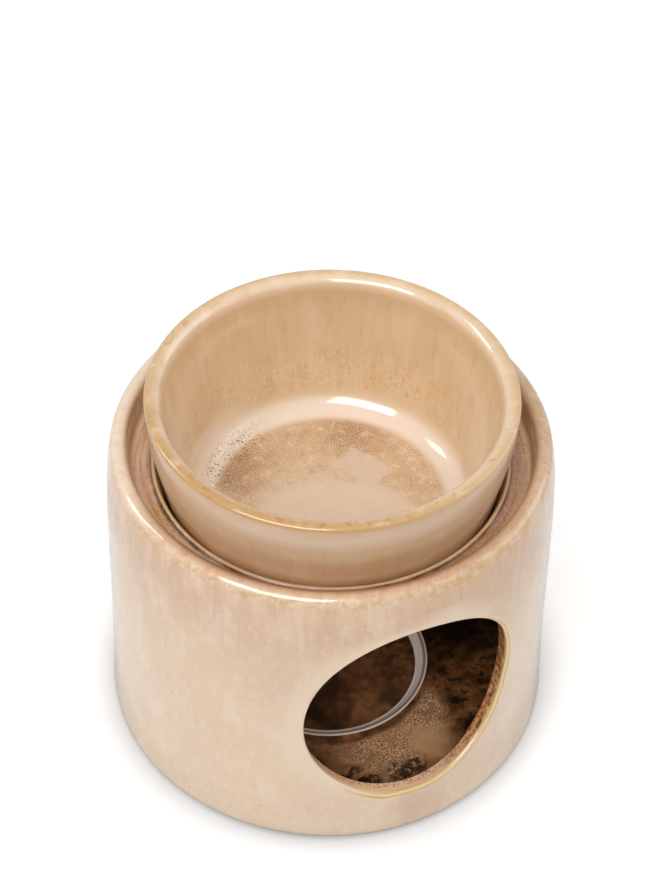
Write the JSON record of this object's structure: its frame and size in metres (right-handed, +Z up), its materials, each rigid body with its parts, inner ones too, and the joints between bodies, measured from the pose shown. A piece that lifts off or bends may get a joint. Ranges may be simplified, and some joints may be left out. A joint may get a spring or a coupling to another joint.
{
  "type": "oil burner",
  "caption": "Tealight oil burner: drum-shaped stoneware body with an oval front window, a lift-out oil dish in its throat and a clear tealight tray inside.",
  "frame": {"origin": "centre of the foot, on the plane the burner stands on", "axes": "+Z up along the axis of the drum, -Y out of the window"},
  "size_m": [0.106, 0.106, 0.0948],
  "materials": {
    "body_glaze": "glossy beige reactive glaze over stoneware, golden brown where it thins at edges, dark brown inside the chamber",
    "dish_glaze": "glossy tan reactive glaze over stoneware, speckled brown on the inner floor, golden line on the rim",
    "clear_glass": "clear and glossy"
  },
  "bodies": {
    "burner": {"burner_body": "body_glaze"},
    "dish": {"oil_dish": "dish_glaze"},
    "tray": {"tealight_tray": "clear_glass"}
  },
  "joints": [
    {"name": "dish_lift", "type": "slide", "parent": "burner", "child": "dish", "axis": [0, 0, 1], "range_m": [0, 0.04]},
    {"name": "tray_lift", "type": "slide", "parent": "burner", "child": "tray", "axis": [0, 0, 1], "range_m": [0, 0.044]}
  ]
}
